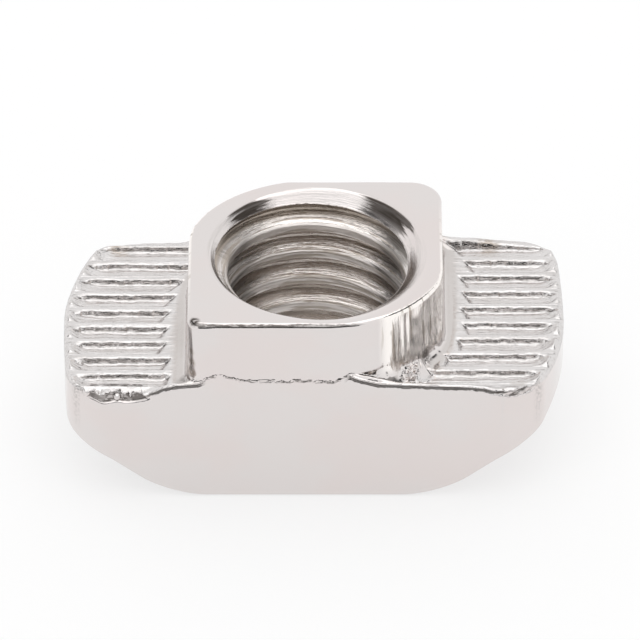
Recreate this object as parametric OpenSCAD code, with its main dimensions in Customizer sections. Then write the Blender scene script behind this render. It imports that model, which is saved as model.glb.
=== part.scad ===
// T slot nut: a cold forged hammer head with toothed wings under a threaded boss, all one piece.
// The thread runs up the Z axis through the origin and the nut stands on its underside at Z = 0.
// Half a turn about Z gives the same shape, apart from the grooves, the foot and the boss's small corner rounds.

/* [Head] */
// Length of the head from end to end
head_length = 19; // [17:0.1:22]
// Depth of the whole nut between its flush front and back faces
body_depth = 9.5; // [9:0.1:10]
// Height of the head up to the tops of its teeth
head_height = 5.05; // [4.4:0.05:6]
// Height of the upright part of each end
end_height = 1.9; // [1.4:0.1:2.4]
// Length of the flat of the underside, between the slants to the ends
foot_length = 10.2; // [8.6:0.1:12]
// Distance of that flat from the middle of the head, to the left
foot_shift = 0.4; // [0:0.1:0.6]
// Plan radius of the two corners that stop against the slot
stop_corner_r = 1.3; // [1:0.1:2]
// Plan radius where the two swept corners run into the front and back faces
swept_corner_r = 1; // [0.6:0.1:1.6]
// Radius between the flat of the underside and its slants
heel_r = 5; // [2:0.1:6]
// Radius between a slant and the upright end
toe_r = 0.8; // [0.3:0.1:1.2]
// Radius along the top edge of each end
end_edge_r = 0.3; // [0.1:0.05:0.4]
// Radius along the bottom edges of the front and back faces
foot_edge_r = 0.2; // [0.1:0.05:0.5]

/* [Boss] */
// Height of the boss above the head
boss_height = 3; // [2:0.1:4]
// Width of the boss between its two flats
boss_width = 9.5; // [9:0.1:9.8]
// Diameter of the two swept corners of the boss, which turn inside the slot
boss_diameter = 9.9; // [9.85:0.05:10.4]
// Corner radius of the boss at the back right
rear_corner_r = 1.2; // [0.6:0.1:1.5]
// Corner radius of the boss at the front left
front_corner_r = 0.5; // [0.3:0.1:1.2]
// Radius along the top edge of the boss
boss_edge_r = 0.14; // [0.1:0.02:0.28]
// Radius of the fillet where the boss meets the wings
root_fillet_r = 0.4; // [0.2:0.05:0.5]

/* [Thread] */
// Bore at the tapping size of the thread
bore_diameter = 6.8; // [6.6:0.05:6.95]
// Diameter of the mouths of the bore, which lead the bolt in
mouth_diameter = 8.2; // [8:0.05:8.4]

/* [Teeth] */
// Distance from one groove to the next
groove_pitch = 0.98; // [0.85:0.01:1.3]
// Width of a groove at the tops of the teeth
groove_width = 0.68; // [0.6:0.02:0.74]
// Width of a groove at its floor
groove_floor = 0.56; // [0.3:0.02:0.58]
// Depth of a groove
groove_depth = 0.2; // [0.15:0.05:0.4]
// Distance by which the grooves sit off centre, towards the back
groove_shift = 0.05; // [0:0.05:0.2]
// Plain strip between the grooves and the end of the head
end_margin = 0.25; // [0.2:0.05:0.6]
// Least strip between the grooves and the front and back faces
side_margin = 0.2; // [0.1:0.05:0.4]
// Plain strip between the grooves and the boss
boss_margin = 0.65; // [0.5:0.05:1]

/* [Hidden] */
$fn = 96;

total_height = head_height + boss_height;
half_length = head_length / 2;
half_depth = body_depth / 2;
boss_r = boss_diameter / 2;
half_boss = boss_width / 2;
boss_root = head_height / 2;
mouth_depth = (mouth_diameter - bore_diameter) / 2;
groove_room = body_depth - groove_width - 2 * (side_margin + groove_shift);
groove_count = floor(groove_room / groove_pitch) + 1;
over = 1;
nickel = [0.88, 0.86, 0.85];

function unit(v) = v / norm(v);
function before(list, i) = list[(i + len(list) - 1) % len(list)];
function after(list, i) = list[(i + 1) % len(list)];

// Half the angle inside corner i of an outline
function half_angle(points, i) =
    acos(unit(before(points, i) - points[i]) * unit(after(points, i) - points[i])) / 2;

// Distance from corner i to where its round meets the straight sides
function round_reach(points, radii, i) = radii[i] / tan(half_angle(points, i));

// Centre of the round at corner i
function round_centre(points, radii, i) =
    points[i] + radii[i] / sin(half_angle(points, i))
        * unit(unit(before(points, i) - points[i]) + unit(after(points, i) - points[i]));

// A convex outline with a true arc at every corner
module rounded_outline(points, radii) {
    polygon([for (i = [0 : len(points) - 1], to = [before(points, i), after(points, i)])
        points[i] + unit(to - points[i]) * round_reach(points, radii, i)]);
    for (i = [0 : len(points) - 1])
        translate(round_centre(points, radii, i)) circle(radii[i]);
}

// Stands a front view upright and gives it the depth of the nut and more
module along_depth() {
    rotate([90, 0, 0]) linear_extrude(body_depth + 2 * over, center = true) children();
}

// Stands a side view upright and gives it the length of the nut and more
module along_length() {
    rotate([90, 0, 90]) linear_extrude(head_length + 2 * over, center = true) children();
}

// The front right quarter of the head from above, swept about the thread so that it can turn in
module swept_quarter(reach, side, blend_r) {
    centre = [sqrt(pow(reach - blend_r, 2) - pow(side - blend_r, 2)), blend_r - side];
    difference() {
        intersection() {
            circle(reach);
            translate([0, -side]) square([reach, side]);
        }
        polygon([centre, [centre.x, -side - over], [reach + over, -side - over],
            centre * (reach + over) / (reach - blend_r)]);
    }
    translate(centre) circle(blend_r);
}

// The back right quarter of the head from above, square so that it stops against the slot
module stop_quarter(reach, side, corner_r) {
    square([reach - corner_r, side]);
    square([reach, side - corner_r]);
    translate([reach - corner_r, side - corner_r]) circle(corner_r);
}

// The head from above, drawn in by one inset at its ends and by another at the front and back
module head_plan(end_inset = 0, side_inset = 0) {
    reach = half_length - end_inset;
    side = half_depth - side_inset;
    for (turn = [0, 180]) rotate(turn) {
        swept_quarter(reach, side, swept_corner_r - end_inset);
        stop_quarter(reach, side, stop_corner_r - end_inset);
    }
}

// The head from the front: a flat foot, slants up to the ends and short upright ends
module head_front_view() {
    slant_top = head_height - end_height;
    rounded_outline(
        [[-foot_shift - foot_length / 2, 0], [-foot_shift + foot_length / 2, 0], [half_length, slant_top],
            [half_length, head_height], [-half_length, head_height], [-half_length, slant_top]],
        [heel_r, heel_r, toe_r, end_edge_r, end_edge_r, toe_r]);
}

module head() {
    intersection() {
        linear_extrude(head_height) head_plan();
        along_depth() head_front_view();
    }
}

// A round post from inside the head to the top of the boss, with a rounded top edge
module post(r) {
    rotate_extrude() {
        translate([0, boss_root]) square([r, total_height - boss_root - boss_edge_r]);
        translate([0, boss_root]) square([r - boss_edge_r, total_height - boss_root]);
        translate([r - boss_edge_r, total_height - boss_edge_r]) circle(boss_edge_r);
    }
}

// The back right quarter of the boss, with its own corner radius
module boss_quarter(corner_r) {
    translate([0, 0, boss_root]) {
        cube([half_boss - corner_r, half_depth, total_height - boss_root]);
        cube([half_boss, half_depth - corner_r, total_height - boss_root]);
    }
    translate([half_boss - corner_r, half_depth - corner_r, 0]) post(corner_r);
}

// The boss from above, grown by a margin on every side, for the plain strip around it
module boss_plan(margin) {
    intersection() {
        square([boss_width + 2 * margin, body_depth + 2 * over], center = true);
        union() {
            circle(boss_r + margin);
            square([half_boss + margin, half_depth + over]);
            rotate(180) square([half_boss + margin, half_depth + over]);
        }
    }
}

module boss() {
    intersection() {
        union() {
            post(boss_r);
            boss_quarter(rear_corner_r);
            rotate(180) boss_quarter(front_corner_r);
        }
        along_depth() rounded_outline(
            [[-half_boss, -over], [half_boss, -over],
                [half_boss, total_height], [-half_boss, total_height]],
            [boss_edge_r, boss_edge_r, boss_edge_r, boss_edge_r]);
    }
}

// The hollow corner that a root fillet fills, standing on the wing against a wall at x
module fillet_section(x) {
    translate([x, head_height]) difference() {
        translate([-root_fillet_r, -root_fillet_r]) square(2 * root_fillet_r);
        translate([root_fillet_r, root_fillet_r]) circle(root_fillet_r);
    }
}

// The root fillets of the right side: along the flat, around the back corner and around the swept corner
module root_fillet(corner_r) {
    flat_end = sqrt(pow(boss_r, 2) - pow(half_boss, 2));
    flat_length = flat_end + half_depth - corner_r;
    translate([0, flat_length / 2 - flat_end, 0])
        rotate([90, 0, 0]) linear_extrude(flat_length, center = true) fillet_section(half_boss);
    translate([half_boss - corner_r, half_depth - corner_r, 0])
        rotate_extrude() fillet_section(corner_r);
    intersection() {
        rotate_extrude() fillet_section(boss_r);
        translate([0, -half_depth - over, 0])
            cube([half_length, half_depth + over - flat_end, total_height]);
    }
}

// Front and back faces are flush, with rounded edges along the foot and along the top of the boss
module side_view() {
    rounded_outline(
        [[-half_depth, 0], [half_depth, 0], [half_depth, total_height], [-half_depth, total_height]],
        [foot_edge_r, foot_edge_r, boss_edge_r, boss_edge_r]);
}

// The grooves between the teeth of both wings, kept clear of the ends and of the boss
module grooves() {
    intersection() {
        translate([0, 0, head_height - groove_depth]) linear_extrude(groove_depth + over) difference() {
            head_plan(end_margin, side_margin);
            boss_plan(boss_margin);
        }
        for (wing = [-1, 1], i = [0 : groove_count - 1])
            translate([wing * half_length / 2, groove_shift, head_height])
                translate([0, (i - (groove_count - 1) / 2) * groove_pitch, 0])
                    rotate([90, 0, 90]) linear_extrude(half_length, center = true)
                        groove_section();
    }
}

// A groove from its open end: sloping walls and a flat floor
module groove_section() {
    slope = (groove_width - groove_floor) / 2 / groove_depth;
    polygon([[-groove_floor / 2, -groove_depth], [groove_floor / 2, -groove_depth],
        [groove_width / 2 + slope * over, over], [-groove_width / 2 - slope * over, over]]);
}

// The bore at its tapping size, with a cone at each mouth
module bore() {
    translate([0, 0, -over]) cylinder(d = bore_diameter, h = total_height + 2 * over);
    for (end = [0, 1]) translate([0, 0, end * total_height]) mirror([0, 0, end])
        translate([0, 0, -over])
            cylinder(d1 = mouth_diameter + 2 * over, d2 = bore_diameter, h = mouth_depth + over);
}

module slot_nut() {
    color(nickel) difference() {
        intersection() {
            union() {
                head();
                boss();
                root_fillet(rear_corner_r);
                rotate(180) root_fillet(front_corner_r);
            }
            along_length() side_view();
        }
        grooves();
        bore();
    }
}

slot_nut();
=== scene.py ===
"""T slot nut: bright nickel plating over cold forged steel, standing on a pale studio floor.

The nut is one solid. Its shape is written as a distance field in millimetres, negative inside the metal,
which is turned into one closed mesh. The plating is one procedural material, led by masks on that mesh.
"""

import math

import bpy
import numpy as np
import openvdb
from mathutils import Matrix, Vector


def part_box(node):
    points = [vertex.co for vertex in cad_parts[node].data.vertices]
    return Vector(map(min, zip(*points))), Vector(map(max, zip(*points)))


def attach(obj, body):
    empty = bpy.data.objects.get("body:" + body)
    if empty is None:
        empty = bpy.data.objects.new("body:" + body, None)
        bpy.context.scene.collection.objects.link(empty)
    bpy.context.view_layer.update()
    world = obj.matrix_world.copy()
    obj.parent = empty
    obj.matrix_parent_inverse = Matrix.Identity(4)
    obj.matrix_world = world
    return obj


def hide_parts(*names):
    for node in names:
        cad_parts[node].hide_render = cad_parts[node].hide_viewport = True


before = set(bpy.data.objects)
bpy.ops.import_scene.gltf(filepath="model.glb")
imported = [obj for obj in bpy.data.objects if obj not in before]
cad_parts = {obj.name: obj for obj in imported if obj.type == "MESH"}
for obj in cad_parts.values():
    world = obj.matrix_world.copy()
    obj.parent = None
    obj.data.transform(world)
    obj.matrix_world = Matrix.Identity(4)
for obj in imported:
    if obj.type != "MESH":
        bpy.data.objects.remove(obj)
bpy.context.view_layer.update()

MM = 0.001
high_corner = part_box("slot_nut")[1]

# Factor for a slant of 45 degrees
COS_45 = math.sqrt(0.5)

# Main sizes of the nut in millimetres, the first three from the frame
HALF_LENGTH = high_corner.x / MM
HALF_DEPTH = high_corner.y / MM
HEIGHT = high_corner.z / MM
BOSS_HEIGHT = 3.0
HEAD_HEIGHT = HEIGHT - BOSS_HEIGHT
STOP_CORNER_R = 1.3
SWEPT_CORNER_R = 1.0
FOOT_EDGE_R = 0.18
END_EDGE_R = 0.22
WING_EDGE_R = 0.12

# Bulge of the stop side of each end, and how much shorter the left wing is on its swept side
END_BULGE = 0.012
LEFT_SHORT = 0.08
LEFT_SHORT_DEPTH = 2.5

# The upper die sat a little to the left of the bore, the lower die a little more
HEAD_SHIFT = -0.1
FOOT_SHIFT = -0.46

# Slanted underside: where it leaves the flat foot, its angle and how softly it bends
HALF_FOOT = 5.1
SLANT = math.radians(38.0)
HEEL_BEND = 0.9
TOE_START = 8.25
TOE_SLANT = math.radians(25.0)
TOE_JOIN = 0.3
TOE_BEND = 0.3

# Boss: two flats, and corners swept about the thread that widen towards the flats
BOSS_ROOT = 2.55
LEFT_FLAT = 4.85
RIGHT_FLAT = 4.77
BOSS_R = 4.82
BOSS_SPREAD = 0.36
BOSS_DRAFT = 0.05
REAR_CORNER_R = 1.2
FRONT_CORNER_R = 0.58
FRONT_CORNER_FLARE = 0.2
SWEEP_TO_FACE_R = 0.1
FLAT_BLEND_R = 0.2
BOSS_EDGE_R = 0.2
RIB_GAIN = 1.3

# Rolled corner of the boss at the front left: its middle and how much rounder its edge is
ROLLED_CORNER = (-4.45, -4.4)
CORNER_ROLL = 0.05

# Fillets round the foot of the boss
ROOT_FILLET_R = 0.4
ROOT_FLARE = 0.35
LEAST_FILLET_R = 0.02
BURR_FILLET_R = 0.2

# Thread M8 x 1.25 with its mouths
PITCH = 1.25
CREST_R = 3.38
ROOT_R = 4.02
HALF_CREST = 0.15
CREST_ROUND = 0.04
ROOT_ROUND = 0.08
THREAD_START = 0.07
MOUTH_R = 4.1
MOUTH_INNER_ROUND = 0.03
MOUTH_EDGE_R = 0.1
MOUTH_EDGE_SPREAD = 0.25

# Grooves between the teeth
GROOVE_PITCH = 0.981
GROOVE_COUNT = 9
FIRST_GROOVE_LEFT = 3.84
FIRST_GROOVE_RIGHT = 4.07
HALF_GROOVE = 0.355
GROOVE_SLOPE = 0.42
GROOVE_DEPTH = 0.22
OPENS_ABOVE_TOPS = 0.3
FLOOR_FILLET = 0.06
TOOTH_EDGE_R = 0.07
END_MARGIN = 0.3
OUTER_END_R = 0.3
INNER_END_R = 0.06
END_SKEW = 0.45

# The first groove of the left wing is wider, and that of the right wing reaches closer to the boss
WIDER_FIRST = 0.12
LONGER_FIRST = 0.2

# Plain strip round the boss: about the thread on the swept side, about its own middle at the stop corner
STRIP_R = 5.45
STRIP_CORNER_MIDDLE = 3.55
STRIP_CORNER_R = 1.95

# Steps along the random waves that keep grooves, wings, walls and floors from matching each other
LANE_STEP = 7.3
LEFT_LANES = 100.0
BACK_WALL_STEP = 3.1
FRONT_WALL_STEP = 5.7
FLOOR_STEP = 2.3

# Random waves in the metal: height, length of a step and seed
WAVE_VALUES = 509
TORN_LINE = (0.04, 0.16, 11)
TORN_LINE_FINE = (0.025, 0.06, 12)
ROUGH_BEAD_WAVE = (0.03, 0.1, 13)
LINE_WAVE = (0.012, 0.3, 14)
ROLLED_BEAD_WAVE = (0.012, 0.4, 15)
RIBS = (0.014, 0.13, 21)
BROAD_RIBS = (0.03, 0.42, 22)
TOP_EDGE_WAVE = (0.02, 0.8, 23)
ROUGH_BACK = (0.024, 0.3, 31)
ROUGH_BACK_FINE = (0.02, 0.11, 32)
ROUGH_FRONT = (0.02, 0.4, 33)
FLOOR_LENGTHWISE = (0.02, 0.7, 34)
INNER_END_WAVE = (0.12, 1.0, 35)
OUTER_END_WAVE = (0.06, 1.0, 36)
FLOOR_ACROSS = (0.012, 0.13, 37)
SCAR_HEIGHT_WAVE = (0.08, 0.5, 41)
SCAR_SWAY = (0.3, 0.2, 42)
SCAR_LUMPS = (0.35, 0.28, 43)
BURR_SWAY_X = (0.5, 0.2, 51)
BURR_LUMPS_X = (1.0, 0.17, 52)
BURR_SWAY_Y = (0.5, 0.2, 53)
BURR_LUMPS_Y = (1.0, 0.15, 54)
WEAR_SWAY = (0.05, 2.0, 61)
WEAR = (0.012, 0.07, 62)
PUSHED_WAVE = (0.03, 1.0, 63)

# Sheared line on the front and back faces: places from left to right with heights, and how soft it bends
FRONT_LINE = [
    (-9.6, 4.95), (-6.4, 4.95), (-5.85, 5.2), (-5.4, 5.36), (-4.6, 5.43), (-4.3, 5.5), (-4.0, 5.72),
    (-3.4, 5.78), (-2.9, 5.5), (0.8, 5.48), (1.2, 5.82), (1.6, 5.64), (2.3, 5.45), (4.0, 5.37), (5.8, 5.3),
    (6.3, 5.23), (6.8, 5.1), (7.3, 5.2), (7.75, 5.14), (8.1, 5.32), (8.4, 5.28), (8.8, 5.05), (9.5, 5.0),
]
BACK_LINE = [
    (-9.6, 4.7), (-8.0, 4.82), (-6.4, 4.92), (-5.2, 4.96), (-4.0, 5.3), (-2.8, 5.5), (2.8, 5.5),
    (3.6, 5.65), (4.3, 5.5), (5.1, 5.24), (6.0, 5.2), (6.7, 5.12), (7.4, 5.05), (9.5, 4.9),
]
LINE_SOFTNESS = 0.12

# Beads along that line and the crease below it: how far they stand out or in, height above it, half width
ROUGH_BEAD = (0.03, 0.0, 0.05)
ROLLED_BEAD = (0.05, -0.04, 0.06)
CREASE = (0.05, -0.15, 0.05)

# How far the faces lie inside the box below that line, and how much further above it
FACE_INSET = 0.02
LEDGE = 0.02

# Lips along the wings' front and back edges: how far they reach inwards, the broad one at the back right
LIP_BREADTH = 0.4
BROAD_LIP_BREADTH = 0.75

# Where those lips begin, are full, begin to fade and end along x, at the back on both sides alike
FRONT_LEFT_LIP = (-6.6, -6.2, -4.5, -4.1)
FRONT_RIGHT_LIP = (1.0, 1.4, 8.4, 8.8)
BACK_LIP = (2.9, 3.4, 8.6, 9.0)

# Metal pushed up at the ends of the grooves: its height, and its ridge across the end of the head
PUSHED_HEIGHT = 0.12
PUSHED_RIDGE = (1.0, -0.23, 0.12)

# Torn patches under the edges of the front face: middle, half width, height, half height and depth
SCARS = [(-7.55, 1.3, 4.76, 0.24, 0.15), (7.45, 0.8, 4.95, 0.14, 0.1)]
SCAR_SHARE = 0.75

# Squashed beads on those patches: middle, height, half width, half height and how far they stand out
BEADS = [
    (-8.66, 4.87, 0.15, 0.17, 0.12),
    (-8.13, 4.93, 0.22, 0.1, 0.14),
    (-7.5, 4.76, 0.16, 0.14, 0.16),
    (-7.21, 4.93, 0.16, 0.08, 0.12),
    (-7.0, 4.83, 0.08, 0.12, 0.13),
    (-6.42, 4.85, 0.16, 0.12, 0.1),
    (7.3, 5.12, 0.3, 0.14, 0.12),
    (8.15, 5.2, 0.34, 0.24, 0.15),
]

# Squashed burr in the root of the boss: its middle in plan, its half sizes and the depth of its lumps
BURR_X = 3.7
BURR_Y = -3.62
BURR_HALF = (0.5, 0.42, 0.26)
BURR_LUMP = 0.06

# How near metal has to be to close in a crease or the pocket by the boss
CREASE_REACH = 0.22
POCKET_REACH = 1.4

# Mesh: cell, spare cells around the nut, triangles kept, reach of the
# sheared line in which none are merged, and shares of corner and face middle where a normal is taken
CELL = 0.055
SPARE_CELLS = 3.3
TRIANGLES = 190_000
SEAM_REACH = 0.3
CORNER_SHARE = 0.88
MIDDLE_SHARE = 0.12
TINY = 1e-12


def smooth_step(start, end, t):
    """0 before start, 1 after end and a smooth rise between."""
    u = np.clip((t - start) / (end - start), 0.0, 1.0)
    return u * u * (3.0 - 2.0 * u)


def span(t, edges):
    """1 between the two inner edges, 0 outside the two outer ones and smooth between."""
    start, full, fading, end = edges
    return smooth_step(start, full, t) * smooth_step(end, fading, t)


def ripple(t, wave):
    """A smooth random wave along t, given by its height, the length of its steps and its seed."""
    height, step, seed = wave
    table = np.random.default_rng(seed).uniform(-1.0, 1.0, WAVE_VALUES)
    u = t / step
    whole = np.floor(u)
    part = u - whole
    part = part * part * (3.0 - 2.0 * part)
    i = whole.astype(int)
    return height * (table[i % WAVE_VALUES] * (1.0 - part) + table[(i + 1) % WAVE_VALUES] * part)


def ridge(t, shape, wave=0.0):
    """A soft ridge across t, given by its height, middle and half width, with a wave added to its height."""
    height, middle, half_width = shape
    return (height + wave) * np.exp(-(((t - middle) / half_width) ** 2))


def round_meet(a, b, r):
    """Where two bodies overlap, with their shared edge rounded to r."""
    return np.minimum(np.maximum(a, b), -r) + np.hypot(np.maximum(a + r, 0.0), np.maximum(b + r, 0.0))


def round_join(a, b, r):
    """Two bodies joined, with a fillet of radius r between them."""
    return np.maximum(np.minimum(a, b), r) - np.hypot(np.maximum(r - a, 0.0), np.maximum(r - b, 0.0))


def half_turn(x, y):
    """Distance out along a wing, and depth towards its stop corner, so that one wing stands for both."""
    return np.abs(x), np.where(x < 0.0, -y, y)


def end_wall(x, y):
    """The end of the head from above: swept about the thread on one side, square on the other."""
    out, depth = half_turn(x, y)
    short = np.where(x < 0.0, LEFT_SHORT, 0.0) * smooth_step(0.0, -LEFT_SHORT_DEPTH, depth)
    swept = np.hypot(x, y) - HALF_LENGTH + short
    return np.where(depth < 0.0, swept, out - HALF_LENGTH + END_BULGE * depth**2)


def along(x, line):
    """Height of a line at each place along x, with soft corners where it changes direction."""
    places, heights = zip(*line)
    shifts = (-LINE_SOFTNESS, 0.0, LINE_SOFTNESS)
    return sum(np.interp(x + shift, places, heights) for shift in shifts) / len(shifts)


def shear_line(x, y):
    """Height of the sheared line that the forging left across the front and back faces."""
    torn = ripple(x, TORN_LINE) + ripple(x, TORN_LINE_FINE)
    height = np.where(y < 0.0, along(x, FRONT_LINE), along(x, BACK_LINE))
    return height + torn * (1.0 - lip_share(x, y)) + ripple(x, LINE_WAVE)


def lip_share(x, y):
    """1 where the sheared line is a rolled lip along a wing, 0 where it only crosses the face."""
    front = span(x, FRONT_LEFT_LIP) + span(x, FRONT_RIGHT_LIP)
    return np.where(y < 0.0, front, span(np.abs(x), BACK_LIP))


def scar(x, z):
    """How deep the torn patches lie below the front face, beads and all."""
    deep = 0.0
    for middle, half_width, height, half_height, depth in SCARS:
        far = np.hypot((x - middle) / half_width, (z - height + ripple(x, SCAR_HEIGHT_WAVE)) / half_height)
        lumps = SCAR_SHARE + ripple(x + ripple(z, SCAR_SWAY), SCAR_LUMPS)
        deep = deep + depth * lumps * smooth_step(1.15, 0.75, far)
    for middle, height, half_width, half_height, stand in BEADS:
        far = ((x - middle) / half_width) ** 2 + ((z - height) / half_height) ** 2
        deep = deep - stand * np.sqrt(np.maximum(1.0 - far, 0.0))
    return deep


def face_wall(x, y, z):
    """The flush front and back faces, drawn in slightly up the boss and beaded along the sheared line."""
    above = z - shear_line(x, y)
    rough_bead = ridge(above, ROUGH_BEAD, ripple(x, ROUGH_BEAD_WAVE))
    rolled_bead = ridge(above, ROLLED_BEAD, ripple(x, ROLLED_BEAD_WAVE))
    bead = rough_bead + (rolled_bead - ridge(above, CREASE) - rough_bead) * lip_share(x, y)
    ledge = LEDGE * smooth_step(-0.02, 0.02, above)
    lean = BOSS_DRAFT * np.maximum(z - HEAD_HEIGHT, 0.0)
    torn = np.where(y < 0.0, scar(x, z), 0.0)
    return np.abs(y) - (HALF_DEPTH - FACE_INSET - ledge + bead - lean - torn)


def groove_row(x, y):
    """Which groove a place belongs to, how far behind its middle it lies, and a lane for its waves."""
    first = np.where(x < 0.0, FIRST_GROOVE_LEFT, FIRST_GROOVE_RIGHT)
    row = np.clip(np.round((first - y) / GROOVE_PITCH), 0, GROOVE_COUNT - 1)
    lane = row * LANE_STEP + np.where(x < 0.0, LEFT_LANES, 0.0)
    return row, y - (first - row * GROOVE_PITCH), lane


def wing_top(x, y):
    """Height of the tops of the teeth, with lips along the edges and metal pushed up at the ends."""
    inset = HALF_DEPTH - np.abs(y)
    breadth = np.where((y > 0.0) & (x > 0.0), BROAD_LIP_BREADTH, LIP_BREADTH)
    lip = (shear_line(x, y) - HEAD_HEIGHT) * smooth_step(breadth, 0.1, inset)
    _, behind, lane = groove_row(x, y)
    pushed = ridge(end_wall(x - HEAD_SHIFT, y), PUSHED_RIDGE) * smooth_step(0.42, 0.1, np.abs(behind))
    pushed = pushed * (PUSHED_HEIGHT + ripple(lane, PUSHED_WAVE)) * smooth_step(0.3, 0.6, inset)
    worn = ripple(y + ripple(x, WEAR_SWAY), WEAR) * smooth_step(4.9, 5.4, np.abs(x))
    return HEAD_HEIGHT + lip + worn + pushed


def head(x, y, z):
    """The head with its wings and slanted underside."""
    xh = x - HEAD_SHIFT
    swept = half_turn(x, y)[1] < 0.0
    face = face_wall(x, y, z)
    wall = round_meet(end_wall(xh, y), face, np.where(swept, SWEPT_CORNER_R, STOP_CORNER_R))
    reach = np.abs(x - FOOT_SHIFT)
    slant = (reach - HALF_FOOT) * math.sin(SLANT) - z * math.cos(SLANT)
    toe_height = (TOE_START - HALF_FOOT) * math.tan(SLANT)
    toe = (reach - TOE_START) * math.sin(TOE_SLANT) - (z - toe_height) * math.cos(TOE_SLANT)
    under = round_meet(-z, round_join(slant, toe, TOE_JOIN), HEEL_BEND)
    edge = FOOT_EDGE_R + (TOE_BEND - FOOT_EDGE_R) * smooth_step(-0.5, -1.4, face)
    body = round_meet(wall, under, edge)
    rim = WING_EDGE_R + (END_EDGE_R - WING_EDGE_R) * smooth_step(-0.3, -1.0, face)
    return round_meet(body, z - wing_top(x, y), rim)


def boss(x, y, z):
    """The boss with its flats, swept corners and small corner rounds."""
    out, depth = half_turn(x, y)
    swept = depth < 0.0
    angle = np.arctan2(np.abs(y), out)
    ribs = ripple(angle * BOSS_R, RIBS) + ripple(angle * BOSS_R, BROAD_RIBS)
    ribs = RIB_GAIN * ribs * smooth_step(HEIGHT - 0.1, HEIGHT - 0.7, z) * smooth_step(1.12, 0.95, angle)
    lean = BOSS_DRAFT * np.maximum(z - HEAD_HEIGHT, 0.0)
    arc = np.hypot(x, y) - BOSS_R - BOSS_SPREAD * np.cos(angle) ** 2 + lean + ribs
    flat = out - np.where(x < 0.0, LEFT_FLAT, RIGHT_FLAT)
    side = np.where(swept, round_meet(arc, flat, FLAT_BLEND_R), flat)
    flare = FRONT_CORNER_FLARE * smooth_step(HEIGHT, HEAD_HEIGHT, z)
    small_corner = np.where(x > 0.0, REAR_CORNER_R, FRONT_CORNER_R + flare)
    wall = round_meet(side, face_wall(x, y, z), np.where(swept, SWEEP_TO_FACE_R, small_corner))
    wall = np.maximum(wall, BOSS_ROOT - z)
    from_corner = np.hypot(x - ROLLED_CORNER[0], y - ROLLED_CORNER[1])
    rolled = CORNER_ROLL * smooth_step(0.8, 0.3, from_corner) + ripple(x, TOP_EDGE_WAVE)
    return round_meet(wall, z - HEIGHT, BOSS_EDGE_R + rolled)


def strip_edge(depth):
    """How far out from the thread the plain strip round the boss reaches, where the grooves begin."""
    about_thread = np.sqrt(np.maximum(STRIP_R**2 - depth**2, 0.0))
    past_corner = np.maximum(depth - STRIP_CORNER_MIDDLE, 0.0)
    about_corner = STRIP_CORNER_MIDDLE + np.sqrt(np.maximum(STRIP_CORNER_R**2 - past_corner**2, 0.0))
    return np.where(depth < 0.0, about_thread, about_corner)


def grooves(x, y, z):
    """The grooves in the tops of the wings, with rough walls and slanted ends."""
    out, depth = half_turn(x, y)
    row, behind, lane = groove_row(x, y)
    first = row == 0
    down = np.maximum(HEAD_HEIGHT - z, -OPENS_ABOVE_TOPS)
    along_back = out + lane * BACK_WALL_STEP
    rough_back = ripple(along_back, ROUGH_BACK) + ripple(along_back, ROUGH_BACK_FINE)
    rough_front = ripple(out + lane * FRONT_WALL_STEP, ROUGH_FRONT)
    half = HALF_GROOVE - GROOVE_SLOPE * down + np.where(behind > 0.0, rough_back, rough_front)
    half = half + np.where(first & (x < 0.0) & (behind > 0.0), WIDER_FIRST, 0.0)
    wall = (np.abs(behind) - half) / math.hypot(1.0, GROOVE_SLOPE)
    uneven = ripple(out + lane * FLOOR_STEP, FLOOR_LENGTHWISE) + ripple(behind + lane, FLOOR_ACROSS)
    channel = round_meet(wall, down - GROOVE_DEPTH + uneven, FLOOR_FILLET)
    ragged = ripple(lane, INNER_END_WAVE) + END_SKEW * (HALF_GROOVE - behind)
    ragged = ragged - np.where(first & (x > 0.0), LONGER_FIRST, 0.0)
    inner = (strip_edge(depth) + ragged + down - out) * COS_45
    to_end = end_wall(x - HEAD_SHIFT, y) + END_MARGIN
    outer = (to_end + ripple(lane, OUTER_END_WAVE) + down) * COS_45
    return round_meet(round_meet(channel, inner, INNER_END_R), outer, OUTER_END_R)


def bore(x, y, z):
    """The air of the threaded bore and its two mouths, negative inside the metal."""
    rho = np.hypot(x, y)
    turn = np.arctan2(y, x) / (2.0 * math.pi)
    u = np.mod((z - THREAD_START) / PITCH - turn + 0.5, 1.0) - 0.5
    from_crest = np.abs(u) * PITCH
    crest = CREST_R - rho
    flank = (CREST_R + math.sqrt(3.0) * (from_crest - HALF_CREST) - rho) * 0.5
    root = ROOT_R - rho
    wall = round_meet(crest, round_join(flank, root, ROOT_ROUND), CREST_ROUND)
    for from_mouth in (HEIGHT - z, z):
        cone = (MOUTH_R - from_mouth - rho) * COS_45
        wall = round_meet(wall, cone, MOUTH_INNER_ROUND)
    return wall


def burr(x, y, z):
    """A squashed burr in the root of the boss, where its swept corner comes round from the front face."""
    lumps = ripple(x + ripple(y, BURR_SWAY_X), BURR_LUMPS_X)
    lumps = lumps + ripple(y - ripple(x, BURR_SWAY_Y), BURR_LUMPS_Y)
    along_x, along_y, along_z = BURR_HALF
    in_plan = ((x - BURR_X) / along_x) ** 2 + ((y - BURR_Y) / along_y) ** 2
    far = np.sqrt(in_plan + ((z - HEAD_HEIGHT) / along_z) ** 2)
    return (far - 1.0) * along_z - BURR_LUMP * lumps


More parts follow.
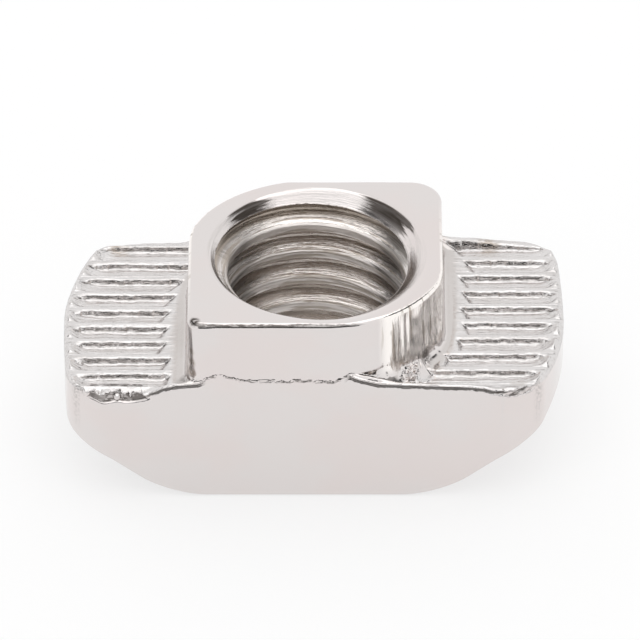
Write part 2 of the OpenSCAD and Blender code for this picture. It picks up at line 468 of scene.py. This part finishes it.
def nut(x, y, z):
    """The whole nut."""
    out, depth = half_turn(x, y)
    fillet = ROOT_FILLET_R + ROOT_FLARE * np.where(depth < 0.0, smooth_step(3.6, 2.8, out), 0.0)
    fillet = LEAST_FILLET_R + fillet * np.where(depth < 0.0, smooth_step(0.9, 2.6, out), 1.0)
    body = round_join(head(x, y, z), boss(x, y, z), fillet)
    body = round_join(body, burr(x, y, z), BURR_FILLET_R)
    body = np.maximum(body, face_wall(x, y, z))
    body = round_meet(body, -grooves(x, y, z), TOOTH_EDGE_R)
    spread = MOUTH_EDGE_SPREAD * smooth_step(0.5, 3.6, x - 0.6 * y) * smooth_step(HEAD_HEIGHT, HEIGHT, z)
    return round_meet(body, bore(x, y, z), MOUTH_EDGE_R + spread)


def field(points):
    """About how far each point lies outside the surface of the nut, negative inside the metal."""
    return nut(points[:, 0], points[:, 1], points[:, 2])


def gradient(points, reach=0.004):
    """Direction out of the metal at each point."""
    slope = np.empty_like(points)
    for axis in range(3):
        shift = np.zeros(3)
        shift[axis] = reach
        slope[:, axis] = field(points + shift) - field(points - shift)
    return slope / (2.0 * reach)


def settle(points, rounds=2, longest=0.05):
    """Moves points onto the surface of the nut, in rounds whose steps are kept short."""
    for _ in range(rounds):
        slope = gradient(points)
        size = np.maximum((slope**2).sum(1), 0.05)
        step = np.clip(field(points) / size, -longest, longest)
        points = points - slope * step[:, None]
    return points


def polygonise(cell):
    """The surface of the nut as points and quads, from samples one cell apart."""
    spans = (HALF_LENGTH, HALF_DEPTH, HEIGHT / 2.0)
    middles = (0.0, 0.0, HEIGHT / 2.0)
    spare = SPARE_CELLS * cell
    rulers = [np.arange(m - s - spare, m + s + spare, cell) for s, m in zip(spans, middles)]
    samples = nut(rulers[0][:, None, None], rulers[1][None, :, None], rulers[2][None, None, :])
    grid = openvdb.FloatGrid()
    grid.copyFromArray(np.ascontiguousarray(samples, dtype=np.float32))
    points, quads = grid.convertToQuads(0.0)
    start = np.array([ruler[0] for ruler in rulers])
    return start + points.astype(float) * cell, quads


def thin_out(mesh, points, triangles):
    """Merges triangles where the surface is flat, away from the sheared line, down to a given number."""
    x, y, z = points.T
    by_the_seam = (np.abs(z - shear_line(x, y)) < SEAM_REACH) & (HALF_DEPTH - np.abs(y) < SEAM_REACH)
    helper = bpy.data.objects.new("thinning", mesh)
    bpy.context.scene.collection.objects.link(helper)
    helper.vertex_groups.new(name="free").add(np.flatnonzero(~by_the_seam).tolist(), 1.0, "REPLACE")
    modifier = helper.modifiers.new("thin", "DECIMATE")
    modifier.vertex_group = "free"
    modifier.ratio = min(1.0, triangles / (2.0 * len(mesh.polygons)))
    thinned = bpy.data.meshes.new_from_object(helper.evaluated_get(bpy.context.evaluated_depsgraph_get()))
    bpy.data.objects.remove(helper)
    return thinned


def shade(mesh):
    """Settles the mesh, and gives each face corner the true normal of the field just inside that corner."""
    count = len(mesh.vertices)
    points = np.empty(count * 3, np.float64)
    mesh.vertices.foreach_get("co", points)
    points = settle(points.reshape(-1, 3))
    mesh.vertices.foreach_set("co", (points * MM).ravel())
    corners = np.empty(len(mesh.loops), np.int64)
    mesh.loops.foreach_get("vertex_index", corners)
    sides = np.empty(len(mesh.polygons), np.int64)
    mesh.polygons.foreach_get("loop_total", sides)
    face_of = np.repeat(np.arange(len(sides)), sides)
    middle = np.zeros((len(sides), 3))
    np.add.at(middle, face_of, points[corners])
    middle /= sides[:, None]
    inward = points[corners] * CORNER_SHARE + middle[face_of] * MIDDLE_SHARE
    normals = unit(gradient(inward))
    mesh.shade_smooth()
    mesh.normals_split_custom_set(normals.astype(np.float32))
    mesh.update()
    return points


def unit(vectors):
    """Vectors of the same directions and of length 1."""
    return vectors / (np.linalg.norm(vectors, axis=1)[:, None] + TINY)


def closed_in(points, slope, reach):
    """How much metal closes a place in: 0 in the open, 1 where the surface faces metal within reach."""
    return 1.0 - np.clip(field(points + reach * slope) / reach, 0.0, 1.0)


def bore_masks(x, y, z, slope):
    """Masks of the bore and of its upper mouth."""
    rho = np.hypot(x, y)
    return {
        "bore": smooth_step(MOUTH_R + 0.08, MOUTH_R, rho),
        "mouth": smooth_step(HEIGHT - 0.8, HEIGHT - 0.6, z) * smooth_step(0.3, 0.6, slope[:, 2]),
    }


def boss_masks(x, y, z, slope):
    """Masks of the boss's swept walls and of the edge round its top, under which the plating paints a dark
    reflection.
    """
    rho = np.hypot(x, y)
    angle = np.arctan2(np.abs(y), np.abs(x))
    depth = half_turn(x, y)[1]
    turned = smooth_step(1.08, 0.98, angle) * np.where(depth < 0.0, 1.0, 0.0)
    upright = smooth_step(0.4, 0.6, np.hypot(slope[:, 0], slope[:, 1]))
    wall = smooth_step(HEAD_HEIGHT + 0.3, HEAD_HEIGHT + 0.7, z)
    off_bore = smooth_step(4.3, 4.5, rho)
    outline = np.maximum.reduce([np.abs(x), np.abs(y), rho - 0.3])
    edge = smooth_step(HEIGHT - 0.5, HEIGHT - 0.4, z) * smooth_step(4.35, 4.45, outline)
    fading = np.where((x > 0.0) & (depth < 0.0), smooth_step(1.9, 1.3, x), 1.0)
    return {
        "swept": wall * turned * upright * off_bore,
        "rim": edge * fading * smooth_step(4.15, 4.35, np.abs(y)),
    }


def face_share(x, y, slope):
    """1 on the front and back faces, 0 on the rest of the nut."""
    outward = slope[:, 1] * np.sign(y)
    share = smooth_step(0.3, 0.6, outward) * smooth_step(0.7, 0.4, HALF_DEPTH - np.abs(y))
    return share * smooth_step(8.95, 8.7, np.abs(x))


def top_share(z):
    """1 at the height of the tops of the wings, 0 well below them and up the boss."""
    return span(z, (4.7, 4.8, HEAD_HEIGHT + 0.3, HEAD_HEIGHT + 0.5))


def face_masks(x, y, z, on_face):
    """Masks along the sheared line of the front and back faces, and of the torn patches below it."""
    lip = lip_share(x, y)
    return {
        "above_seam": z - shear_line(x, y),
        "lip": on_face * lip,
        "seam": on_face * (1.0 - lip) * smooth_step(5.2, 4.8, np.abs(x + 1.0)),
        "torn": np.clip(np.where(y < -4.0, scar(x, z), 0.0) / 0.1, 0.0, 1.0),
    }


def wing_masks(x, y, z, slope, on_face):
    """Masks of the teeth, of the grooves' front walls, where the plating paints shade, and of the plain strip
    beside the boss.
    """
    to_boss = boss(x, y, z)
    top = top_share(z)
    clear = smooth_step(0.4, 0.65, to_boss)
    return {
        "wing": top * clear * smooth_step(0.0, 0.6, slope[:, 2]),
        "strip": top * smooth_step(0.7, 0.5, to_boss) * smooth_step(0.6, 0.9, slope[:, 2]),
        "groove_wall": top * smooth_step(-0.5, -0.8, slope[:, 1]) * clear * (1.0 - on_face),
    }


def crease_masks(x, y, z, points, slope):
    """Masks of narrow creases and of the deeper pocket round the boss, both clear of the burr, where the
    plating paints shade.
    """
    to_burr = burr(x, y, z)
    off_lip = smooth_step(0.5, 0.9, np.hypot(np.maximum(np.abs(x - 2.4) - 1.4, 0.0), y + 4.4))
    off_fillet = smooth_step(0.9, 1.3, np.hypot(x - 4.6, y + 3.2))
    hollow = closed_in(points, slope, CREASE_REACH) * smooth_step(0.6, 1.3, to_burr)
    hollow = hollow * (1.0 - 0.5 * top_share(z)) * off_lip * off_fillet
    pocket = closed_in(points, slope, POCKET_REACH) * smooth_step(4.8, 4.9, z)
    pocket = pocket * smooth_step(0.1, 0.3, to_burr)
    pocket = pocket * smooth_step(0.5, 0.2, boss(x, y, z)) * smooth_step(4.4, 4.6, np.hypot(x, y))
    return {"hollow": hollow, "pocket": pocket}


def paint(mesh, points):
    """Marks on each vertex the parts of the surface that the plating shows in different ways."""
    x, y, z = points.T
    slope = unit(gradient(points))
    on_face = face_share(x, y, slope)
    masks = face_masks(x, y, z, on_face)
    masks.update(wing_masks(x, y, z, slope, on_face))
    masks.update(bore_masks(x, y, z, slope))
    masks.update(boss_masks(x, y, z, slope))
    masks.update(crease_masks(x, y, z, points, slope))
    for name, values in masks.items():
        mesh.attributes.new(name, "FLOAT", "POINT").data.foreach_set("value", values.astype(np.float32))


def build_nut():
    points, quads = polygonise(CELL)
    mesh = bpy.data.meshes.new("slot_nut_plated")
    points = settle(points, 1)
    mesh.from_pydata(points, [], quads)
    mesh = thin_out(mesh, points, TRIANGLES)
    mesh.name = "slot_nut_plated"
    paint(mesh, shade(mesh))
    piece = bpy.data.objects.new("slot_nut_plated", mesh)
    bpy.context.scene.collection.objects.link(piece)
    return piece


def node(tree, kind, inputs=None, **settings):
    """Adds a node with its settings, and gives its inputs values or links from other nodes' outputs."""
    made = tree.nodes.new(kind)
    for name, value in settings.items():
        setattr(made, name, value)
    for key, value in (inputs or {}).items():
        if isinstance(value, bpy.types.NodeSocket):
            tree.links.new(value, made.inputs[key])
        else:
            made.inputs[key].default_value = value
    return made


def maths(tree, operation, *values):
    return node(tree, "ShaderNodeMath", dict(enumerate(values)), operation=operation).outputs[0]


def times(tree, *values):
    """The product of several values."""
    result = values[0]
    for value in values[1:]:
        result = maths(tree, "MULTIPLY", result, value)
    return result


def most(tree, *values):
    """The largest of several values."""
    result = values[0]
    for value in values[1:]:
        result = maths(tree, "MAXIMUM", result, value)
    return result


def mask(tree, name):
    return node(tree, "ShaderNodeAttribute", attribute_name=name).outputs["Fac"]


def noise(tree, where, scale, detail=2.0, roughness=0.5):
    """Noise along scaled axes, with its scale in features per millimetre."""
    per_metre = [value / MM for value in scale]
    stretched = node(tree, "ShaderNodeVectorMath", {0: where, 1: per_metre}, operation="MULTIPLY").outputs[0]
    settings = {"Vector": stretched, "Scale": 1.0, "Detail": detail, "Roughness": roughness}
    return node(tree, "ShaderNodeTexNoise", settings).outputs["Fac"]


def ramp(tree, value, start, end, low=0.0, high=1.0):
    """A smooth rise from low to high while the value goes from start to end."""
    settings = {"Value": value, "From Min": start, "From Max": end, "To Min": low, "To Max": high}
    return node(tree, "ShaderNodeMapRange", settings, interpolation_type="SMOOTHSTEP").outputs["Result"]


def between(tree, value, low, high, soft):
    """1 where the value lies between low and high, with soft edges."""
    return times(tree, ramp(tree, value, low - soft, low), ramp(tree, value, high + soft, high))


def blend(tree, factor, first, second):
    """First colour where the factor is 0 and second where it is 1."""
    made = node(tree, "ShaderNodeMix", data_type="RGBA")
    for socket, value in (("Factor_Float", factor), ("A_Color", first), ("B_Color", second)):
        target = next(item for item in made.inputs if item.identifier == socket)
        if isinstance(value, bpy.types.NodeSocket):
            tree.links.new(value, target)
        else:
            target.default_value = value
    return next(item for item in made.outputs if item.identifier == "Result_Color")


def marks(tree, where, places):
    """The strongest of several soft round marks, each given in millimetres by middle, radius and strength."""
    shares = []
    for x, y, z, radius, strength in places:
        middle = (x * MM, y * MM, z * MM)
        far = node(tree, "ShaderNodeVectorMath", {0: where, 1: middle}, operation="DISTANCE").outputs["Value"]
        shares.append(ramp(tree, far, radius * MM, 0.3 * radius * MM, 0.0, strength))
    return most(tree, *shares)


# Marks on the metal: middle, radius and strength of the dark ones, which are painted shade and painted dark
# reflections, and of the brown ones, which are stains
PAINTED_SHADE_MARKS = [
    (-4.58, -4.28, 8.03, 0.28, 1.0),
    (4.2, -3.0, 5.45, 0.45, 0.9),
    (-4.95, -4.2, 5.2, 0.45, 0.5),
]
BROWN_MARKS = [
    (-7.6, 4.3, 5.0, 0.5, 0.8),
    (6.6, 4.4, 5.2, 0.6, 0.8),
    (7.6, -4.1, 5.0, 0.45, 0.5),
    (-4.7, -4.4, 5.7, 0.3, 1.0),
    (-4.7, -4.4, 6.2, 0.26, 1.0),
    (-4.7, -4.4, 6.7, 0.2, 0.9),
]

# Colours of the plating, where it is worn or dull, of what has settled on it, and of painted light and shade
NICKEL = (0.75, 0.71, 0.697, 1.0)
NICKEL_WARM = (0.76, 0.702, 0.686, 1.0)
NICKEL_DULL = (0.6, 0.565, 0.545, 1.0)
NICKEL_ON_TEETH = (0.735, 0.712, 0.705, 1.0)
# Grey that paints shade on the grooves' front walls
NICKEL_SHADED_WALL = (0.42, 0.395, 0.38, 1.0)
# Lighter copies of the nickel that paint light on the thread in the bore and on the swept walls
NICKEL_LIFTED_IN_BORE = (0.87, 0.822, 0.79, 1.0)
NICKEL_LIFTED_ON_SWEEP = (1.0, 0.955, 0.92, 1.0)
# Brown of stains and streaks, also used for painted shade in the pocket and the thread roots
NICKEL_BROWN = (0.46, 0.4, 0.345, 1.0)
# Dark of residue, also used for painted shade and painted dark reflections
RESIDUE_AND_PAINTED_SHADE = (0.07, 0.058, 0.05, 1.0)

# Parts of the surface that the mesh marks for the plating
MASKS = (
    "bore", "mouth", "wing", "strip", "swept", "hollow", "pocket", "torn", "rim", "groove_wall",
    "above_seam", "lip", "seam",
)

# Tool lines in the thread: how many a millimetre holds across a turn, and how often they change along it
LINES_PER_MM = 5.5
CHANGES_PER_MM = 0.35


def places_round_the_thread(tree, where):
    """Height, radius and angle about the thread, the place across a turn, and places along the arc."""
    split = node(tree, "ShaderNodeSeparateXYZ", {0: where})
    x, y, z = (split.outputs[axis] for axis in "XYZ")
    turn = maths(tree, "ARCTAN2", y, x)
    radius = maths(tree, "SQRT", maths(tree, "MULTIPLY_ADD", y, y, times(tree, x, x)))
    turns = maths(tree, "DIVIDE", turn, 2.0 * math.pi)
    rise = maths(tree, "DIVIDE", maths(tree, "SUBTRACT", z, THREAD_START * MM), PITCH * MM)
    phase = maths(tree, "FRACT", maths(tree, "ADD", maths(tree, "SUBTRACT", rise, turns), 0.5))
    arc = {0: times(tree, turn, BOSS_R * MM), 1: radius, 2: z}
    around = node(tree, "ShaderNodeCombineXYZ", arc).outputs[0]
    return {"height": z, "radius": radius, "turn": turn, "phase": phase, "around": around}


def thread_lines(tree, where, at):
    """Fine tool lines that follow the turns of the thread."""
    across = maths(tree, "MULTIPLY_ADD", at["phase"], PITCH * MM, at["radius"])
    slow = [CHANGES_PER_MM / MM] * 3
    low = node(tree, "ShaderNodeVectorMath", {0: where, 1: slow}, operation="MULTIPLY").outputs[0]
    settings = {"Vector": low, "W": times(tree, across, LINES_PER_MM / MM), "Scale": 1.0, "Detail": 4.0}
    settings["Roughness"] = 0.65
    return node(tree, "ShaderNodeTexNoise", settings, noise_dimensions="4D").outputs["Fac"]


def patterns(tree, where, at):
    """The noise patterns of the plating, from broad haze to fine grain."""
    return {
        "haze": noise(tree, where, (0.22, 0.22, 0.3), 3.0),
        "grain": noise(tree, where, (5.0, 5.0, 5.0), 3.0),
        "flecks": noise(tree, where, (3.0, 12.0, 12.0), 2.0, 0.6),
        "tooth_lines": noise(tree, where, (0.4, 8.0, 8.0), 3.0, 0.6),
        "tool_lines": thread_lines(tree, where, at),
        "draw_lines": noise(tree, at["around"], (4.5, 0.4, 0.4), 3.0, 0.6),
    }


def dulled(tree, on, seen):
    """Share of dull metal: lines on the teeth and in the thread, and most of the plain strip."""
    teeth = times(tree, on["wing"], ramp(tree, seen["tooth_lines"], 0.45, 0.7, 0.0, 0.5))
    thread = times(tree, on["bore"], ramp(tree, seen["tool_lines"], 0.4, 0.65, 0.0, 0.5))
    strip = times(tree, on["strip"], ramp(tree, seen["haze"], 0.4, 0.6, 0.7, 1.0))
    return most(tree, teeth, thread, strip)


def brown_stains_and_shade(tree, where, on, at, seen):
    """Share of brown: streaks on the swept walls, tool lines and stains, and painted shade in the pocket by
    the boss and in the thread roots.
    """
    streaks = times(tree, on["swept"], ramp(tree, seen["draw_lines"], 0.555, 0.635, 0.0, 0.75))
    # Painted shade in the pocket by the boss, mottled by grain
    pocket = times(tree, ramp(tree, on["pocket"], 0.3, 0.7), ramp(tree, seen["grain"], 0.4, 0.6, 0.2, 0.9))
    pocket = times(tree, pocket, on["outside"])
    # Painted shade at the root of the first turn of the thread
    first_root = times(tree, ramp(tree, at["radius"], 3.65 * MM, 3.85 * MM), on["bore"])
    first_root = times(tree, first_root, ramp(tree, at["height"], 6.7 * MM, 7.1 * MM))
    first_root = times(tree, first_root, ramp(tree, at["height"], 7.6 * MM, 7.5 * MM))
    stains = times(tree, marks(tree, where, BROWN_MARKS), ramp(tree, seen["flecks"], 0.4, 0.55, 0.3, 1.0))
    lines = times(tree, on["thread"], ramp(tree, seen["tool_lines"], 0.52, 0.59, 0.0, 0.85))
    # Painted shade towards the roots of the thread
    roots = times(tree, on["thread"], ramp(tree, at["radius"], 3.55 * MM, 3.9 * MM, 0.0, 0.5))
    return most(tree, streaks, pocket, first_root, stains, lines, roots)


def shaded_bore(tree, on, at, seen):
    """Painted dark reflections to both sides of the mouth, and in the thread below them."""
    streaky_turn = maths(tree, "MULTIPLY_ADD", seen["tool_lines"], 1.0, at["turn"])
    right = between(tree, streaky_turn, 1.0, 1.5, 0.1)
    left = between(tree, streaky_turn, 2.64, 2.92, 0.1)
    mouth = times(tree, most(tree, right, left), on["mouth"])
    mouth = times(tree, mouth, ramp(tree, at["radius"], 4.12 * MM, 4.05 * MM))
    mouth = times(tree, mouth, ramp(tree, seen["tool_lines"], 0.4, 0.62, 1.0, 0.84))
    mouth = times(tree, mouth, ramp(tree, at["radius"], 3.5 * MM, 3.8 * MM, 0.2, 1.0))
    right = between(tree, streaky_turn, 0.85, 1.15, 0.2)
    left = between(tree, streaky_turn, 3.0, 3.4, 0.25)
    thread = times(tree, most(tree, right, left), on["thread"])
    thread = times(tree, thread, ramp(tree, seen["tool_lines"], 0.3, 0.6, 0.9, 0.3))
    return most(tree, mouth, thread)


def residue_and_painted_shade(tree, where, on, at, seen):
    """Share of dark: residue along the sheared line, dark scale and painted shade in the scars, painted shade
    under lips and in creases, and painted dark reflections under rims, at a few spots and in the bore.
    """
    # Painted shadow in a ragged band under the rolled lips
    ragged = maths(tree, "MULTIPLY_ADD", seen["grain"], 0.16, on["above_seam"])
    painted_shadow_under_lip = times(tree, on["lip"], 0.75, between(tree, ragged, -0.13, -0.01, 0.03))
    seam = times(tree, on["seam"], 0.55, between(tree, on["above_seam"], -0.05, 0.04, 0.03))
    seam = times(tree, seam, ramp(tree, seen["flecks"], 0.48, 0.55))
    # Painted dark reflection in a wavy band just under the boss's top edge
    wavy = maths(tree, "MULTIPLY_ADD", seen["grain"], 0.05 * MM, at["height"])
    painted_reflection_under_rim = between(tree, wavy, (HEIGHT - 0.09) * MM, (HEIGHT - 0.01) * MM, 0.01 * MM)
    painted_reflection_under_rim = times(tree, on["rim"], painted_reflection_under_rim, ramp(tree, seen["haze"], 0.4, 0.55, 0.65, 0.85))
    painted_reflection_under_rim = times(tree, painted_reflection_under_rim, ramp(tree, seen["flecks"], 0.42, 0.55, 0.5, 1.0))
    # Dark scale in the torn patches, and painted shade where they lie deepest
    scar_scale_and_shade = times(tree, ramp(tree, on["torn"], 0.4, 0.8), ramp(tree, seen["flecks"], 0.42, 0.52, 0.3, 0.8))
    # Painted shade and painted dark reflections at a few listed spots
    painted_shade_spots = times(tree, marks(tree, where, PAINTED_SHADE_MARKS), ramp(tree, seen["flecks"], 0.4, 0.5, 0.3, 1.0))
    # Painted dark reflections in the mouth and the thread
    painted_bore_reflections = shaded_bore(tree, on, at, seen)
    return most(tree, painted_shadow_under_lip, painted_reflection_under_rim, seam, scar_scale_and_shade, on["crease"], painted_shade_spots, painted_bore_reflections)


def plating_colour(tree, on, seen, dull, brown, dark):
    """The colour of the plating, from plain nickel through its lighter painted-light copies and its dull and
    stained places to the residue and painted shade.
    """
    colour = blend(tree, ramp(tree, seen["haze"], 0.42, 0.62), NICKEL, NICKEL_WARM)
    # Painted shade on the grooves' front walls, broken by flecks
    shaded_groove_wall = times(tree, on["groove_wall"], ramp(tree, seen["flecks"], 0.4, 0.6, 0.1, 1.0))
    # The bore and sweep tones paint light, and the grey, brown and dark shares also paint shade
    for share, tone in (
        (on["thread"], NICKEL_LIFTED_IN_BORE),
        (on["swept"], NICKEL_LIFTED_ON_SWEEP),
        (on["wing"], NICKEL_ON_TEETH),
        (dull, NICKEL_DULL),
        (shaded_groove_wall, NICKEL_SHADED_WALL),
        (brown, NICKEL_BROWN),
        (dark, RESIDUE_AND_PAINTED_SHADE),
    ):
        colour = blend(tree, share, colour, tone)
    return colour


def plating_roughness(tree, on, at, seen, dull, dark):
    """Bright in the mouth, hazy on the faces, and rough on the crests and where residue and painted shade
    lie.
    """
    rough = ramp(tree, seen["haze"], 0.3, 0.7, 0.11, 0.17)
    deep = times(tree, on["bore"], ramp(tree, at["radius"], 3.6 * MM, 3.9 * MM))
    for share, change in ((dull, 0.12), (on["mouth"], -0.06), (on["crest"], 0.3), (deep, 0.1), (dark, 0.25)):
        rough = maths(tree, "MULTIPLY_ADD", share, change, rough)
    return rough


def plating_relief(tree, on, seen):
    """Height of the fine lines and grain that are too small for the mesh."""
    relief = times(tree, seen["grain"], 0.06)
    for lines, share, height in (
        (seen["tooth_lines"], on["wing"], 1.6),
        (seen["flecks"], on["wing"], 1.2),
        (seen["tool_lines"], on["bore"], maths(tree, "MULTIPLY_ADD", on["mouth"], -1.4, 2.4)),
        (seen["flecks"], on["crest"], 0.7),
        (seen["draw_lines"], on["swept"], 1.6),
        (seen["grain"], most(tree, on["torn"], on["crease"]), 0.8),
    ):
        relief = maths(tree, "MULTIPLY_ADD", times(tree, lines, share), height, relief)
    return relief


def nickel_plating():
    """Bright nickel, hazy on the faces and streaked on teeth and swept walls, with painted shade in its
    creases.
    """
    material = bpy.data.materials.new("nickel_plating")
    material.use_nodes = True
    tree = material.node_tree
    shader = tree.nodes["Principled BSDF"]
    where = node(tree, "ShaderNodeTexCoord").outputs["Object"]
    at = places_round_the_thread(tree, where)
    seen = patterns(tree, where, at)
    on = {name: mask(tree, name) for name in MASKS}
    on["outside"] = maths(tree, "SUBTRACT", 1.0, on["bore"])
    on["thread"] = times(tree, on["bore"], maths(tree, "SUBTRACT", 1.0, on["mouth"]))
    on["crest"] = times(tree, on["bore"], ramp(tree, at["radius"], 3.5 * MM, 3.43 * MM))
    # Painted shade in the creases, broken by flecks, outside the bore
    crease = times(tree, ramp(tree, on["hollow"], 0.2, 0.8), ramp(tree, seen["flecks"], 0.45, 0.6, 0.0, 0.7))
    on["crease"] = times(tree, crease, on["outside"])

    dull = dulled(tree, on, seen)
    brown = brown_stains_and_shade(tree, where, on, at, seen)
    dark = residue_and_painted_shade(tree, where, on, at, seen)
    tree.links.new(plating_colour(tree, on, seen, dull, brown, dark), shader.inputs["Base Color"])
    tree.links.new(plating_roughness(tree, on, at, seen, dull, dark), shader.inputs["Roughness"])
    shader.inputs["Metallic"].default_value = 1.0
    bump_settings = {"Height": plating_relief(tree, on, seen), "Distance": 0.03 * MM, "Strength": 0.6}
    tree.links.new(node(tree, "ShaderNodeBump", bump_settings).outputs["Normal"], shader.inputs["Normal"])
    return material


def plain(name, colour, roughness=0.9):
    material = bpy.data.materials.new(name)
    material.use_nodes = True
    shader = material.node_tree.nodes["Principled BSDF"]
    shader.inputs["Base Color"].default_value = (*colour, 1.0)
    shader.inputs["Roughness"].default_value = roughness
    shader.inputs["Specular IOR Level"].default_value = 0.0
    return material


# Floor: half its size in metres, its colour, and the share of white that lifts it where it is seen
FLOOR_HALF = 1.5
FLOOR_WHITE = (0.97, 0.97, 0.97)
FLOOR_GLOW = 0.65

# Boards that give the metal something dark to show
SOFT_BLACK = (0.05, 0.05, 0.05)
BLACK = (0.02, 0.02, 0.02)


def glow_where_seen(material, share):
    """Mixes white into a material where the camera or a reflection sees it, which makes a shadow paler."""
    tree = material.node_tree
    path = node(tree, "ShaderNodeLightPath")
    seen = most(tree, *(path.outputs[f"Is {kind} Ray"] for kind in ("Camera", "Glossy", "Transmission")))
    white = node(tree, "ShaderNodeEmission", {"Color": (1.0, 1.0, 1.0, 1.0), "Strength": 1.0}).outputs[0]
    surface = tree.nodes["Principled BSDF"].outputs[0]
    mix = node(tree, "ShaderNodeMixShader", {0: times(tree, seen, share), 1: surface, 2: white})
    tree.links.new(mix.outputs[0], tree.nodes["Material Output"].inputs["Surface"])


def flat_sheet(name, corners, material):
    """A flat four-sided sheet that belongs to the studio and not to the nut."""
    mesh = bpy.data.meshes.new(name)
    mesh.from_pydata(corners, [], [(0, 1, 2, 3)])
    mesh.materials.append(material)
    piece = bpy.data.objects.new(name, mesh)
    bpy.context.scene.collection.objects.link(piece)
    return piece


def floor():
    half = FLOOR_HALF
    corners = [(-half, -half, 0), (half, -half, 0), (half, half, 0), (-half, half, 0)]
    material = plain("floor_white", FLOOR_WHITE)
    glow_where_seen(material, FLOOR_GLOW)
    piece = flat_sheet("studio_floor", corners, material)


def towards(azimuth, elevation):
    """Direction from the nut, with azimuth 0 at the front and 90 at the right."""
    az, el = math.radians(azimuth), math.radians(elevation)
    return Vector((math.sin(az) * math.cos(el), -math.cos(az) * math.cos(el), math.sin(el)))


def board(name, azimuth, elevation, distance, width, height, colour):
    """A flat board that faces the nut, seen in the metal only."""
    az = math.radians(azimuth)
    out = towards(azimuth, elevation)
    right = Vector((math.cos(az), math.sin(az), 0.0))
    up = out.cross(right)
    middle = out * distance
    signs = ((-1, -1), (1, -1), (1, 1), (-1, 1))
    corners = [middle + right * sx * width / 2 + up * sy * height / 2 for sx, sy in signs]
    piece = flat_sheet(name, corners, plain(name, colour))
    piece.visible_camera = False
    piece.visible_shadow = False


def softbox(name, azimuth, elevation, distance, width, height, power):
    """A rectangular lamp that faces the nut."""
    light = bpy.data.lights.new(name, "AREA")
    light.shape = "RECTANGLE"
    light.size = width
    light.size_y = height
    light.energy = power
    lamp = bpy.data.objects.new(name, light)
    lamp.location = distance * towards(azimuth, elevation)
    lamp.rotation_euler = lamp.location.to_track_quat("Z", "Y").to_euler()
    bpy.context.scene.collection.objects.link(lamp)


def studio():
    """A white world, a pale floor, one soft lamp overhead and three boards."""
    scene = bpy.context.scene
    world = bpy.data.worlds.new("studio")
    world.use_nodes = True
    world.node_tree.nodes["Background"].inputs["Color"].default_value = (1.0, 1.0, 1.0, 1.0)
    world.node_tree.nodes["Background"].inputs["Strength"].default_value = 1.0
    scene.world = world
    scene.view_settings.view_transform = "Standard"
    floor()
    softbox("top_softbox", azimuth=0, elevation=84, distance=0.6, width=0.8, height=0.55, power=0.78)
    near = {"azimuth": 0, "elevation": 12, "distance": 0.5, "width": 0.6, "height": 0.25}
    side = {"elevation": 40, "distance": 0.45, "width": 0.34, "height": 0.15}
    board("camera_side_board", **near, colour=SOFT_BLACK)
    board("left_board", azimuth=-86, **side, colour=BLACK)
    board("right_board", azimuth=86, **side, colour=BLACK)


# Camera as fitted to the photograph: the middle of the picture lies just above and right of the nut's middle
CAMERA_ELEVATION = 37.4
CAMERA_DISTANCE = 0.300
CAMERA_LENS = 442.7
CAMERA_CLIP = 0.001
AIM_RIGHT = 0.13
AIM_UP = 0.64
AIM_HEIGHT = 4.0


def camera():
    el = math.radians(CAMERA_ELEVATION)
    right = Vector((1.0, 0.0, 0.0))
    up = Vector((0.0, math.sin(el), math.cos(el)))
    back = towards(0.0, CAMERA_ELEVATION)
    aim = (Vector((0.0, 0.0, AIM_HEIGHT)) + right * AIM_RIGHT + up * AIM_UP) * MM
    lens = bpy.data.cameras.new("camera")
    lens.lens = CAMERA_LENS
    lens.clip_start = CAMERA_CLIP
    eye = bpy.data.objects.new("camera", lens)
    eye.location = aim + back * CAMERA_DISTANCE
    eye.rotation_euler = back.to_track_quat("Z", "Y").to_euler()
    bpy.context.scene.collection.objects.link(eye)
    bpy.context.scene.camera = eye


camera()
studio()
plated = build_nut()
plated.data.materials.append(nickel_plating())
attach(plated, "root")
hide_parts("slot_nut")
